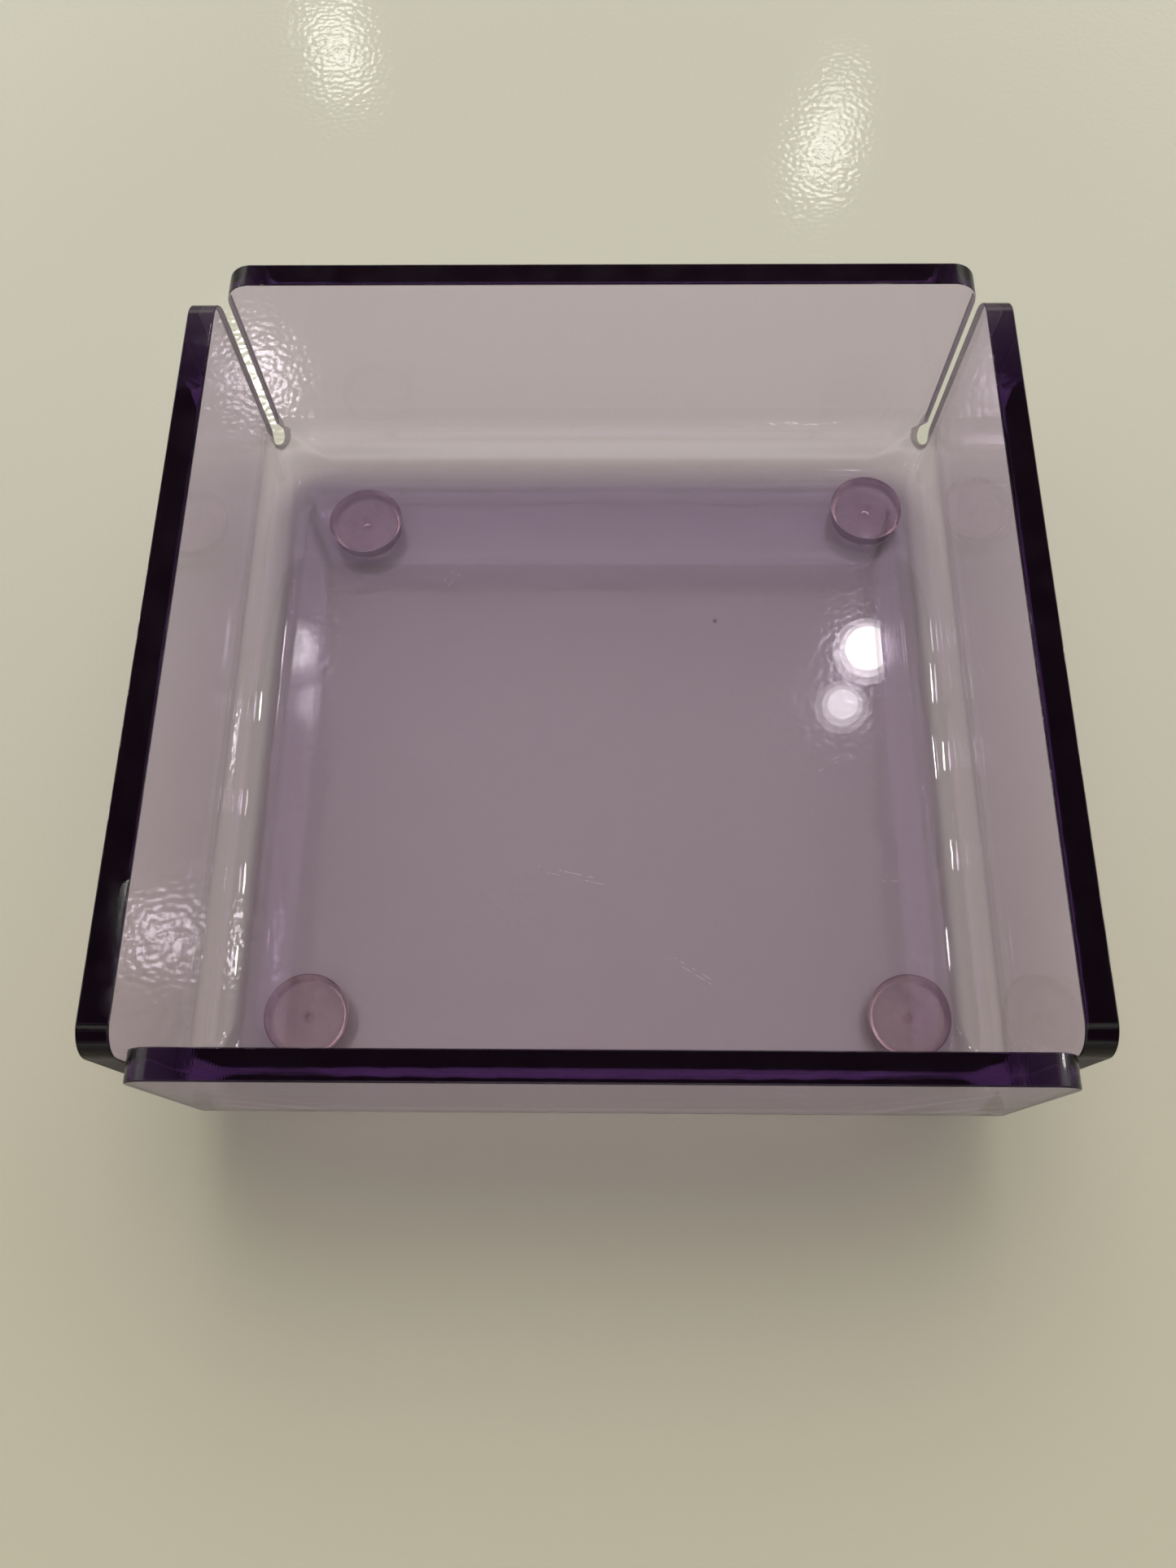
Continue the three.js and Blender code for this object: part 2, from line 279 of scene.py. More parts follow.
def slope(high, low, step):
    """How fast a place changes, from two of it a step apart."""
    return Vector([(a - b) / step for a, b in zip(high, low)])


def smooth_max(a, b, width):
    """The larger of two values, with a rounded change from one to the other."""
    share = min(max(0.5 + 0.5 * (a - b) / width, 0), 1)
    return b + (a - b) * share + width * share * (1 - share)


class Body:
    """Gathers the vertices, normals and faces of one closed mesh, and welds what meets."""

    WELD = 1e-8

    def __init__(self):
        self.places = []
        self.normals = []
        self.marks = {"edge": [], "cut": [], "along": [], "around": [], "bend": []}
        self.faces = []
        self.known = {}
        self.rings = {True: set(), False: set()}

    def vertex(self, place, normal, **marks):
        key = tuple(round(c / self.WELD) for c in place)
        if key not in self.known:
            self.known[key] = len(self.places)
            self.places.append(tuple(place))
            self.normals.append(tuple(normal))
            for label, values in self.marks.items():
                values.append(marks.get(label, 0.0))
        return self.known[key]

    def face(self, corners, flip):
        ring = [c for k, c in enumerate(corners) if c != corners[k - 1]]
        if len(ring) > 2:
            self.faces.append(ring[::-1] if flip else ring)

    def close_flats(self):
        """The flat floor and the flat underside, inside the lowest row of each skin."""
        for facing_up, ring in self.rings.items():
            turn = {c: math.atan2(self.places[c][1], self.places[c][0]) for c in ring}
            self.face(sorted(ring, key=turn.get), not facing_up)

    def make(self, name):
        mesh = bpy.data.meshes.new(name)
        mesh.from_pydata(self.places, [], self.faces)
        mesh.polygons.foreach_set("use_smooth", [True] * len(mesh.polygons))
        mesh.normals_split_custom_set_from_vertices(self.normals)
        for label, values in self.marks.items():
            layer = mesh.attributes.new(label, "FLOAT", "POINT")
            layer.data.foreach_set("value", values)
        piece = bpy.data.objects.new(name, mesh)
        bpy.context.collection.objects.link(piece)
        return piece


class Skin:
    """One face of the sheet, in the quarter where x and y are positive. A place on it is s, the
    way along the walls from the middle of the rear wall to the middle of the side wall, and v,
    the way up from the flat bottom."""

    STEP = 0.002 * MM

    def __init__(self, kind, setbacks):
        inner = kind == "inner"
        self.inner = inner
        self.half_x = INNER_X if inner else OUTER_X
        self.half_y = INNER_Y if inner else OUTER_Y
        self.bend_radius = INNER_BEND_RADIUS if inner else OUTER_BEND_RADIUS
        self.floor_radius = FLOOR_CORNER_RADIUS[kind]
        self.top_radius = TOP_CORNER_RADIUS[kind]
        self.power = CORNER_POWER[kind]
        self.span = self.half_x + self.half_y - 2 * self.top_radius + CORNER_LENGTH[kind]
        self.bend_end = self.bend_radius * QUARTER_TURN
        self.rim_v = self.bend_end + RIM - BEND_TOP
        self.rows = [self.bend_end * k / BEND_ROWS[kind] for k in range(BEND_ROWS[kind] + 1)]
        self.end_rear = INNER_X - setbacks[0]
        self.end_side = self.span - (INNER_Y - setbacks[1])
        self.slot_middle = (self.end_rear + self.end_side) / 2

    def bend_share(self, v):
        """How far a place is in the bend, where the heated sheet has fine ripples."""
        return smooth_step(0, BEND_MARGIN, v) * (1 - smooth_step(self.bend_end, self.rim_v, v))

    def up_to(self, level):
        return self.bend_radius * math.acos((BEND_TOP - level) / self.bend_radius)

    def plan(self, v):
        """The level, half sizes and corner radius of the skin's outline at v."""
        angle = min(v / self.bend_radius, QUARTER_TURN)
        rise = max(v - self.bend_end, 0)
        level = BEND_TOP - self.bend_radius * math.cos(angle) + rise
        inset = self.bend_radius * (1 - math.sin(angle))
        low_share = max(math.cos(angle), 0) ** self.power
        radius = self.top_radius + (self.floor_radius - self.top_radius) * low_share
        return level, self.half_x - inset, self.half_y - inset, radius

    def arc(self, v):
        """Where the round corner of the outline at v starts and ends."""
        level, half_x, half_y, radius = self.plan(v)
        return half_x - radius, self.span - (half_y - radius)

    def point(self, s, v):
        return Vector(self.exact_point(s, v))

    def exact_point(self, s, v):
        level, half_x, half_y, radius = self.plan(v)
        start, end = self.arc(v)
        turn = QUARTER_TURN * min(max((s - start) / (end - start), 0), 1)
        x = half_x - radius * (1 - math.sin(turn)) - max(start - s, 0)
        y = half_y - radius * (1 - math.cos(turn)) - max(s - end, 0)
        if self.inner:
            apart = smooth_step(self.up_to(HOLE_LEVEL), self.bend_end, v)
            beside_rear = s < self.slot_middle
            straight_x = s if beside_rear else half_x
            straight_y = half_y if beside_rear else self.span - s
            x += (straight_x - x) * apart
            y += (straight_y - y) * apart
        return x, y, level

    def slopes(self, s, v):
        """How the place changes with s and with v, never measured across the slot's middle."""
        step = self.STEP
        if (s - self.slot_middle) * (s - step - self.slot_middle) < 0:
            return self.slopes(s + step, v)
        by_s = slope(self.exact_point(s, v), self.exact_point(s - step, v), step)
        by_v = slope(self.exact_point(s, v + step), self.exact_point(s, v - step), 2 * step)
        return by_s, by_v

    def normal(self, s, v):
        """Out of the sheet."""
        by_s, by_v = self.slopes(s, v)
        out = by_s.cross(by_v).normalized()
        return out if self.inner else -out

    def shifted(self, s, v, way):
        """The place on the skin that lies way, a short step along it, from another."""
        by_s, by_v = self.slopes(s, v)
        ss, sv, vv = by_s.dot(by_s), by_s.dot(by_v), by_v.dot(by_v)
        along_s, along_v = by_s.dot(way), by_v.dot(way)
        area = ss * vv - sv * sv
        ds = (vv * along_s - sv * along_v) / area
        dv = (ss * along_v - sv * along_s) / area
        return s + ds, v + dv

    def wall_edge(self):
        """The sharp edge of the rear wall, from its middle to the top of the slot."""
        radius = WALL_CORNER_RADIUS
        places = [(0, self.rim_v)]
        for k in range(WALL_CORNER_STEPS + 1):
            turn = QUARTER_TURN * k / WALL_CORNER_STEPS
            s = self.end_rear - radius * (1 - math.sin(turn))
            places.append((s, self.rim_v - radius * (1 - math.cos(turn))))
        return places

    def slot_side(self):
        """Places down the straight side of the slot, between the wall's corner and the relief."""
        high, low = self.rim_v - WALL_CORNER_RADIUS, self.bend_end + SLOT_START
        steps = SLOT_SIDE_STEPS
        return [(self.end_rear, high + (low - high) * k / steps) for k in range(1, steps)]

    def slot_share(self, v):
        """How far down the slot a place on the edge is: rough as cut, and painted darker as shade.
        """
        return smooth_step(0, SLOT_TOP_DEPTH, self.rim_v - v)

    def arris(self, v):
        """The softness of the edge: wider on the lip of the relief hole."""
        low, high = self.bend_end - LIP_FADE[1], self.bend_end - LIP_FADE[0]
        return LIP_RADIUS + (ARRIS_RADIUS - LIP_RADIUS) * smooth_step(low, high, v)

    def side_wall_edge(self):
        """The same on the side wall, from the slot on."""
        mirrored = [(self.end_rear - s, v) for s, v in self.wall_edge() + self.slot_side()]
        places = [(self.end_side + rest, v) for rest, v in mirrored]
        places[0] = (self.span, self.rim_v)
        return places[::-1]

    def around_relief(self):
        """The edge from the foot of one slot side round the relief to the other."""
        top = self.bend_end + SLOT_START
        path = self.keyhole(top) if self.inner else self.stretched_hole(top)
        path = spread(path, [self.point(s, v) for s, v in path], RELIEF_STATIONS)
        return softened(path, SOFTENING["sharp"])

    def from_diagonal(self, s, v):
        """How far a place lies from the corner's diagonal, along the outline at v."""
        start, end = self.arc(v)
        half_length = self.plan(v)[3] * QUARTER_TURN / 2
        if s < start:
            return s - start - half_length
        if s > end:
            return s - end + half_length
        return half_length * (2 * (s - start) / (end - start) - 1)

    def at_diagonal_distance(self, distance, v):
        start, end = self.arc(v)
        half_length = self.plan(v)[3] * QUARTER_TURN / 2
        if distance < -half_length:
            return start + distance + half_length
        if distance > half_length:
            return end + distance - half_length
        return start + (end - start) * (distance / half_length + 1) / 2

    def keyhole(self, top):
        """Down one side of the slot, round the hole and up the other side."""
        ends = [self.from_diagonal(s, top) for s in (self.end_rear, self.end_side)]
        centre = sum(ends) / 2
        half_slot = (self.end_side - self.end_rear) / 2
        middle_v = self.up_to(HOLE_LEVEL)
        upper = {-1: [], 1: []}
        for k in range(HOLE_UPPER_STEPS + 1):
            turn = QUARTER_TURN * (1 - k / HOLE_UPPER_STEPS)
            v = middle_v + HOLE_RADIUS * math.sin(turn)
            for side, places in upper.items():
                hole_s = self.at_diagonal_distance(centre + side * HOLE_RADIUS * math.cos(turn), v)
                reach = smooth_max((hole_s - self.slot_middle) * side, half_slot, NECK_ROUNDING)
                places.append((self.slot_middle + side * reach, v))
        lower = []
        for k in range(1, HOLE_LOWER_STEPS):
            turn = math.pi * k / HOLE_LOWER_STEPS
            v = middle_v - HOLE_RADIUS * math.sin(turn)
            lower.append((self.at_diagonal_distance(centre - HOLE_RADIUS * math.cos(turn), v), v))
        whole = upper[-1] + lower + upper[1][::-1]
        return [(self.end_rear, top)] + whole + [(self.end_side, top)]

    def stretched_hole(self, top):
        """The same on the outer face, where the hole is wide and the slot wider still."""
        half_width = (self.end_side - self.end_rear) / 2
        middle_v, high = self.up_to(STRETCHED_LEVEL), self.up_to(STRETCHED_TOP)
        half_hole = self.at_diagonal_distance(STRETCHED_RADIUS, middle_v)
        half_hole -= self.at_diagonal_distance(0, middle_v)
        path = {-1: [(self.end_rear, top)], 1: [(self.end_side, top)]}
        for k in range(HOLE_UPPER_STEPS + 1):
            v = high - (high - middle_v) * k / HOLE_UPPER_STEPS
            reach = half_hole + (half_width - half_hole) * smooth_step(middle_v, high, v)
            for side, places in path.items():
                places.append((self.slot_middle + side * reach, v))
        lower = []
        for k in range(1, HOLE_LOWER_STEPS):
            turn = math.pi * k / HOLE_LOWER_STEPS
            s = self.slot_middle - half_hole * math.cos(turn)
            lower.append((s, middle_v - STRETCHED_RADIUS * math.sin(turn)))
        return path[-1] + lower + path[1][::-1]


def spread(path, places, count):
    """Evenly spaced places along a path, its two ends among them."""
    lengths = [0.0]
    for k in range(1, len(places)):
        lengths.append(lengths[-1] + (places[k] - places[k - 1]).length)
    result = []
    k = 1
    for j in range(count + 1):
        goal = lengths[-1] * j / count
        while k < len(path) - 1 and lengths[k] < goal:
            k += 1
        gap = lengths[k] - lengths[k - 1]
        share = (goal - lengths[k - 1]) / gap if gap else 0
        low, high = path[k - 1], path[k]
        result.append(tuple(a + (b - a) * share for a, b in zip(low, high)))
    return result


def softened(path, times):
    """A path with its turns rounded, and its two ends kept."""
    places = np.array(path)
    for _ in range(times):
        places[1:-1] = (places[:-2] + 2 * places[1:-1] + places[2:]) / 4
    return [tuple(p) for p in places.tolist()]


def softly_shifted(path, goal, times):
    """A path shifted to a goal path, with the turns of the shift rounded."""
    shifts = np.array(goal) - np.array(path)
    return [tuple(p) for p in (np.array(path) + softened(shifts, times)).tolist()]


def tangents(places):
    """The way a path of places runs at each of them."""
    result = []
    for k in range(len(places)):
        low, high = places[max(k - 1, 0)], places[min(k + 1, len(places) - 1)]
        result.append((high - low).normalized())
    return result


def inset_edge(skin, edge, ways, relief):
    """Where a skin ends and its rounded edge starts: its sharp edge, shifted inwards."""
    inset = []
    for place, way in zip(edge, ways):
        inwards = way.cross(skin.normal(*place))
        if not skin.inner:
            inwards = -inwards
        inset.append(skin.shifted(*place, inwards * skin.arris(place[1])))
    inset[0] = (0.0, skin.rim_v - ARRIS_RADIUS)
    inset[-1] = (skin.span, skin.rim_v - ARRIS_RADIUS)
    inset[relief] = softly_shifted(edge[relief], inset[relief], SOFTENING["inset"])
    return inset


def rounded(low, middle, high, way):
    """The places and normals across a rounded edge, from low to high, that bows to middle."""
    row = []
    for j in range(ARRIS_STEPS + 1):
        t = j / ARRIS_STEPS
        place = low * (1 - t) ** 2 + middle * 2 * t * (1 - t) + high * t * t
        onwards = (middle - low) * (1 - t) + (high - middle) * t
        row.append((place, way.cross(onwards).normalized()))
    return row


class Corner:
    """One quarter of the tray, made where x and y are positive and mirrored into its place."""

    def __init__(self, body, signs):
        self.body = body
        self.signs = Vector((signs[0], signs[1], 1))
        self.flip = signs[0] != signs[1]
        self.skins = [Skin(kind, SETBACKS[signs]) for kind in ("inner", "outer")]

    def vertex(self, place, normal, **marks):
        return self.body.vertex(place * self.signs, normal * self.signs, **marks)

    def build(self):
        edges = []
        for skin in self.skins:
            rear_side = skin.wall_edge() + skin.slot_side()
            edges.append(rear_side + skin.around_relief() + skin.side_wall_edge())
        relief = slice(len(rear_side), len(rear_side) + RELIEF_STATIONS + 1)
        sharp = [[skin.point(*p) for p in edge] for skin, edge in zip(self.skins, edges)]
        ways = [tangents(places) for places in sharp]
        insets = [inset_edge(*parts, relief) for parts in zip(self.skins, edges, ways)]
        for skin, inset in zip(self.skins, insets):
            self.patch(skin, inset)
        self.ribbon(insets, sharp, ways)

    def ribbon(self, insets, sharp, ways):
        """The cut edge of the sheet, with an arris at either side."""
        inner, outer = self.skins
        along = 0.0
        rows = []
        for k, (near, far) in enumerate(zip(*sharp)):
            if k:
                along += (near - sharp[0][k - 1]).length
            radius = inner.arris(insets[0][k][1])
            across = (far - near).normalized() * radius
            start, finish = inner.point(*insets[0][k]), outer.point(*insets[1][k])
            row = rounded(start, near, near + across, ways[0][k])
            row += rounded(far - across, far, finish, ways[1][k])
            marks = {"edge": 1.0, "along": along, "cut": inner.slot_share(insets[0][k][1])}
            places = [self.vertex(*row[0])]
            places += [self.vertex(place, normal, **marks) for place, normal in row[1:-1]]
            places.append(self.vertex(*row[-1]))
            rows.append(places)
        for low, high in zip(rows, rows[1:]):
            for j in range(len(low) - 1):
                self.body.face((low[j], high[j], high[j + 1], low[j + 1]), self.flip)

    def patch(self, skin, inset):
        """The skin of one quarter, from the flat bottom to the edge."""
        bottom = [(s, 0.0) for s in columns(skin, 0.0)]
        left = [(0.0, v) for v in skin.rows[1:]]
        right = [(skin.span, v) for v in skin.rows[1:]]
        outline = bottom + right + inset[::-1] + left[::-1]
        grid = [(s, v) for v in skin.rows[1:] for s in columns(skin, v)[1:-1]]
        flat = outline + [p for p, kept in zip(grid, inside(outline, grid, EDGE_ROOM)) if kept]
        ring = list(range(len(outline)))
        within_ring = 1
        places = [Vector(p) for p in flat]
        found = delaunay_2d_cdt(places, [], [ring], within_ring, MERGE_REACH, True)
        corners = []
        for origins in found[3]:
            s, v = flat[origins[0]]
            marks = {"along": s, "around": v, "bend": skin.bend_share(v)}
            corners.append(self.vertex(skin.point(s, v), skin.normal(s, v), **marks))
            if v == 0:
                self.body.rings[skin.inner].add(corners[-1])
        middles = [sum((found[0][c] for c in face), Vector((0, 0))) / 3 for face in found[2]]
        for triangle, kept in zip(found[2], inside(outline, middles, 0)):
            if kept:
                self.body.face([corners[c] for c in triangle], self.flip == skin.inner)


def columns(skin, v):
    """The places along one row: wide apart on the straights and fine round the corner."""
    start, end = skin.arc(v)
    count = int(start / COLUMN_SPACING)
    straight = [start * k / count for k in range(count)]
    arc = [start + (end - start) * k / CORNER_COLUMNS for k in range(CORNER_COLUMNS + 1)]
    count = int((skin.span - end) / COLUMN_SPACING)
    rest = [skin.span - (skin.span - end) * k / count for k in range(count)]
    return straight + arc + rest[::-1]


def inside(outline, grid, room):
    """Which places of a grid lie within an outline, with some room to it."""
    ends = np.array(outline)
    starts = np.roll(ends, 1, axis=0)
    run = ends - starts
    places = np.array(grid)[:, None, :]
    above = (starts[:, 1] > places[..., 1]) != (ends[:, 1] > places[..., 1])
    climb = np.where(run[:, 1] == 0, 1, run[:, 1])
    crossing = starts[:, 0] + run[:, 0] * (places[..., 1] - starts[:, 1]) / climb
    within = (above & (places[..., 0] < crossing)).sum(axis=1) % 2 == 1
    run_squared = np.maximum((run**2).sum(axis=1), NO_LENGTH)
    share = ((places - starts) * run).sum(axis=2) / run_squared
    nearest = starts + np.clip(share, 0, 1)[..., None] * run
    gap = np.linalg.norm(places - nearest, axis=2).min(axis=1)
    return within & (gap >= room)


def tray():
    body = Body()
    for signs in SETBACKS:
        Corner(body, signs).build()
    body.close_flats()
    return body


def smooth_lathe(name, profile, centre):
    """A round piece from the profile of half of it, radius and height, from bottom to top."""
    places = []
    for k in range(LATHE_SIDES):
        turn = 2 * math.pi * k / LATHE_SIDES
        for radius, height in profile:
            places.append((radius * math.cos(turn), radius * math.sin(turn), height))
    count = len(profile)
    faces = []
    for k in range(LATHE_SIDES):
        low, high = k * count, (k + 1) % LATHE_SIDES * count
        for j in range(count - 1):
            faces.append((low + j, high + j, high + j + 1, low + j + 1))
    mesh = bpy.data.meshes.new(name)
    mesh.from_pydata(places, [], faces)
    shape = bmesh.new()
    shape.from_mesh(mesh)
    bmesh.ops.remove_doubles(shape, verts=shape.verts, dist=LATHE_WELD)
    bmesh.ops.recalc_face_normals(shape, faces=shape.faces)
    shape.to_mesh(mesh)
    shape.free()
    mesh.polygons.foreach_set("use_smooth", [True] * len(mesh.polygons))
    mesh.set_sharp_from_angle(angle=SHARP_TURN)
    piece = bpy.data.objects.new(name, mesh)
    piece.location = centre
    bpy.context.collection.objects.link(piece)
    return piece


def turned_corner(centre, radius, start, end, steps):
    """Places on a round corner of a profile, its angles from the radius direction."""
    places = []
    for k in range(steps + 1):
        turn = start + (end - start) * k / steps
        places.append((centre[0] + radius * math.cos(turn), centre[1] + radius * math.sin(turn)))
    return places


def bumper_profile():
    side = BUMPER_RADIUS - BUMPER_DRAFT
    foot = side - BUMPER_SHOULDER
    profile = [(0, DIMPLE_DEPTH)]
    for k in range(DIMPLE_STEPS + 1):
        share = k / DIMPLE_STEPS
        radius = DIMPLE_RADIUS * (DIMPLE_FLAT + (1 - DIMPLE_FLAT) * share)
        profile.append((radius, DIMPLE_DEPTH * (1 - smooth_step(0, 1, share))))
    shoulder = (foot, BUMPER_SHOULDER)
    profile += turned_corner(shoulder, BUMPER_SHOULDER, -QUARTER_TURN, 0, SHOULDER_STEPS)
    top_arris = (BUMPER_RADIUS - TOP_ARRIS, BUMPER_HEIGHT - TOP_ARRIS)
    profile += turned_corner(top_arris, TOP_ARRIS, 0, QUARTER_TURN, ARRIS_STEPS)
    profile.append((0, BUMPER_HEIGHT))
    return profile


def adhesive_profile():
    low, high = BUMPER_HEIGHT + AIR_GAP, UNDERSIDE - AIR_GAP
    return [(0, low), (ADHESIVE_RADIUS, low), (ADHESIVE_RADIUS, high), (0, high)]


class Nodes:
    """Builds a node tree one node at a time."""

    def __init__(self, tree):
        self.tree = tree
        tree.nodes.clear()

    def add(self, kind, inputs=None, **settings):
        node = self.tree.nodes.new(kind)
        for key, value in settings.items():
            setattr(node, key, value)
        for key, value in (inputs or {}).items():
            socket = node.inputs[key]
            if isinstance(value, bpy.types.NodeSocket):
                self.tree.links.new(value, socket)
            else:
                socket.default_value = value
        return node

    def math(self, operation, *values, clamp=False):
        inputs = dict(enumerate(values))
        node = self.add("ShaderNodeMath", inputs, operation=operation, use_clamp=clamp)
        return node.outputs[0]

    def ramp(self, value, low, high, to_low, to_high):
        """A value carried from one range to another, with soft ends."""
        names = ("Value", "From Min", "From Max", "To Min", "To Max")
        inputs = dict(zip(names, (value, low, high, to_low, to_high)))
        node = self.add("ShaderNodeMapRange", inputs, interpolation_type="SMOOTHSTEP")
        return node.outputs[0]

    def noise(self, vector, scale, detail):
        inputs = {"Vector": vector, "Scale": scale, "Detail": detail}
        return self.add("ShaderNodeTexNoise", inputs).outputs["Fac"]

    def patches(self, vector, scale, detail, *ranges):
        """A noise carried from a range of its own to another."""
        return self.ramp(self.noise(vector, scale, detail), *ranges)


def new_material(name):
    material = bpy.data.materials.new(name)
    material.use_nodes = True
    return material, Nodes(material.node_tree)


def attribute(nodes, name):
    return nodes.add("ShaderNodeAttribute", attribute_name=name).outputs["Fac"]


def edge_striations(nodes, along, place):
    """The cutter's fine ridges across the edge, deep in some stretches and gone in others."""
    way = nodes.add("ShaderNodeCombineXYZ", {"X": along}).outputs[0]
    inputs = {"Vector": way, "Scale": STRIATION_SCALE}
    ridges = nodes.add("ShaderNodeTexWave", inputs, bands_direction="X").outputs["Fac"]
    return nodes.math("MULTIPLY", ridges, nodes.patches(place, *STRIATION_PATCHES))


def ripples(nodes):
    """Fine ripples along the bends, across their curve, where the sheet was heated."""
    across = nodes.math("MULTIPLY", attribute(nodes, "around"), RIPPLE_SCALES[0])
    along = nodes.math("MULTIPLY", attribute(nodes, "along"), RIPPLE_SCALES[1])
    way = nodes.add("ShaderNodeCombineXYZ", {"X": across, "Y": along}).outputs[0]
    return nodes.math("MULTIPLY", nodes.noise(way, *RIPPLE_NOISE), attribute(nodes, "bend"))


def scratches(nodes, place):
    """A few hair-fine scratches on the floor of the tray."""
    total = 0.0
    for middle, turn, half_length in SCRATCHES:
        moved = nodes.add("ShaderNodeVectorMath", {0: place, 1: (-middle[0], -middle[1], 0)})
        inputs = {"Vector": moved.outputs[0], "Rotation": (0, 0, -turn)}
        turned = nodes.add("ShaderNodeMapping", inputs).outputs[0]
        parts = nodes.add("ShaderNodeSeparateXYZ", {0: turned}).outputs
        across = nodes.math("ABSOLUTE", parts["Y"])
        ahead = nodes.math("ABSOLUTE", parts["X"])
        thin = nodes.ramp(across, 0.0, SCRATCH_WIDTH, 1.0, 0.0)
        long = nodes.ramp(ahead, SCRATCH_FULL_SHARE * half_length, half_length, 1.0, 0.0)
        total = nodes.math("MAXIMUM", total, nodes.math("MULTIPLY", thin, long))
    return nodes.math("MULTIPLY", total, nodes.patches(place, *SCRATCH_PATCHES))


def speck(nodes, place):
    """A speck of dust on the floor of the tray, 0 on it and 1 away from it."""
    away = nodes.add("ShaderNodeVectorMath", {0: place, 1: SPECK_PLACE}, operation="DISTANCE")
    ragged = nodes.math("MULTIPLY", nodes.noise(place, *SPECK_NOISE), 2 * SPECK_RADIUS)
    reach = nodes.math("ADD", away.outputs["Value"], ragged)
    return nodes.ramp(reach, SPECK_RADIUS, 2 * SPECK_RADIUS, 0.0, 1.0)


def acrylic_roughness(nodes, place, edge):
    """Polished faces with their scratches, fine edges, and rough cuts in the slots."""
    scratched = nodes.math("MULTIPLY", scratches(nodes, place), SCRATCH_ROUGHNESS)
    face = nodes.math("MAXIMUM", nodes.patches(place, *FACE_ROUGHNESS), scratched)
    cut = nodes.math("MULTIPLY", attribute(nodes, "cut"), CUT_ROUGHNESS)
    cut = nodes.math("MAXIMUM", nodes.patches(place, *EDGE_ROUGHNESS), cut)
    return nodes.add("ShaderNodeMix", {0: edge, 2: face, 3: cut}).outputs[0]


def acrylic_relief(nodes, place, edge):
    """The ridges of the edges and the ripples of the bends, as bent normals."""
    ridges = edge_striations(nodes, attribute(nodes, "along"), place)
    ridges = nodes.math("MULTIPLY", nodes.math("MULTIPLY", ridges, edge), STRIATION_DEPTH)
    waves = nodes.math("MULTIPLY", ripples(nodes), RIPPLE_DEPTH)
    inputs = {"Height": nodes.math("ADD", ridges, waves), "Distance": 1.0}
    return nodes.add("ShaderNodeBump", inputs).outputs[0]


def tinted_acrylic():
    material, nodes = new_material("tinted_acrylic")
    place = nodes.add("ShaderNodeTexCoord").outputs["Object"]
    edge = attribute(nodes, "edge")
    # Painted shade darkens the cut faces; the speck is real dust.
    shade = mix_colours(nodes, attribute(nodes, "cut"), (1, 1, 1), CUT_PAINTED_SHADE)
    shade = mix_colours(nodes, speck(nodes, place), SPECK_SHADE, shade)
    inputs = {
        "Base Color": shade,
        "Roughness": acrylic_roughness(nodes, place, edge),
        "IOR": ACRYLIC_IOR,
        "Transmission Weight": 1.0,
        "Normal": acrylic_relief(nodes, place, edge),
    }
    surface = nodes.add("ShaderNodeBsdfPrincipled", inputs).outputs[0]
    inputs = {"Color": (*ACRYLIC_TINT, 1), "Density": ACRYLIC_DENSITY}
    volume = nodes.add("ShaderNodeVolumeAbsorption", inputs).outputs[0]
    nodes.add("ShaderNodeOutputMaterial", {"Surface": surface, "Volume": volume})
    return material


def middle_spot(nodes, place):
    """0 in the darker spot in the middle of a foot, 1 away from it."""
    flat = nodes.add("ShaderNodeVectorMath", {0: place, 1: (1, 1, 0)}, operation="MULTIPLY")
    length = nodes.add("ShaderNodeVectorMath", {0: flat.outputs[0]}, operation="LENGTH")
    return nodes.ramp(length.outputs["Value"], *MIDDLE_SPOT_EDGES, 0.0, 1.0)


def shaded_shoulder(nodes, place):
    """1 on the side of a foot, where it has painted shade, 0 below and on top."""
    height = nodes.add("ShaderNodeSeparateXYZ", {0: place}).outputs["Z"]
    above = nodes.ramp(height, *SHOULDER_LEVELS, 0.0, 1.0)
    return nodes.math("MULTIPLY", above, nodes.ramp(height, *TOP_LEVELS, 1.0, 0.0))


def clear_rubber():
    material, nodes = new_material("clear_rubber")
    place = nodes.add("ShaderNodeTexCoord").outputs["Object"]
    shade = mix_colours(nodes, middle_spot(nodes, place), MIDDLE_SPOT_SHADE, (1, 1, 1))
    shoulder = shaded_shoulder(nodes, place)
    # Painted shade on the side of the foot, which also lets less light through.
    shade = mix_colours(nodes, shoulder, shade, SHOULDER_PAINTED_SHADE)
    inputs = {
        "Base Color": shade,
        "Roughness": nodes.patches(place, *RUBBER_ROUGHNESS),
        "IOR": RUBBER_IOR,
        "Transmission Weight": nodes.ramp(shoulder, 0.0, 1.0, 1.0, SHOULDER_CLEARNESS),
    }
    surface = nodes.add("ShaderNodeBsdfPrincipled", inputs).outputs[0]
    inputs = {"Color": (*RUBBER_TINT, 1), "Density": RUBBER_DENSITY}
    volume = nodes.add("ShaderNodeVolumeAbsorption", inputs).outputs[0]
    nodes.add("ShaderNodeOutputMaterial", {"Surface": surface, "Volume": volume})
    return material


def clear_adhesive():
    material, nodes = new_material("clear_adhesive")
    place = nodes.add("ShaderNodeTexCoord").outputs["Object"]
    patches = nodes.noise(place, *ADHESIVE_NOISE)
    inputs = {
        "Base Color": mix_colours(nodes, patches, ADHESIVE_DARK, ADHESIVE_PALE),
        "Roughness": nodes.ramp(patches, *ADHESIVE_RANGE, *ADHESIVE_ROUGHNESS),
        "Alpha": nodes.ramp(patches, *ADHESIVE_RANGE, *ADHESIVE_COVER),
    }
    surface = nodes.add("ShaderNodeBsdfPrincipled", inputs).outputs[0]
    nodes.add("ShaderNodeOutputMaterial", {"Surface": surface})
    return material


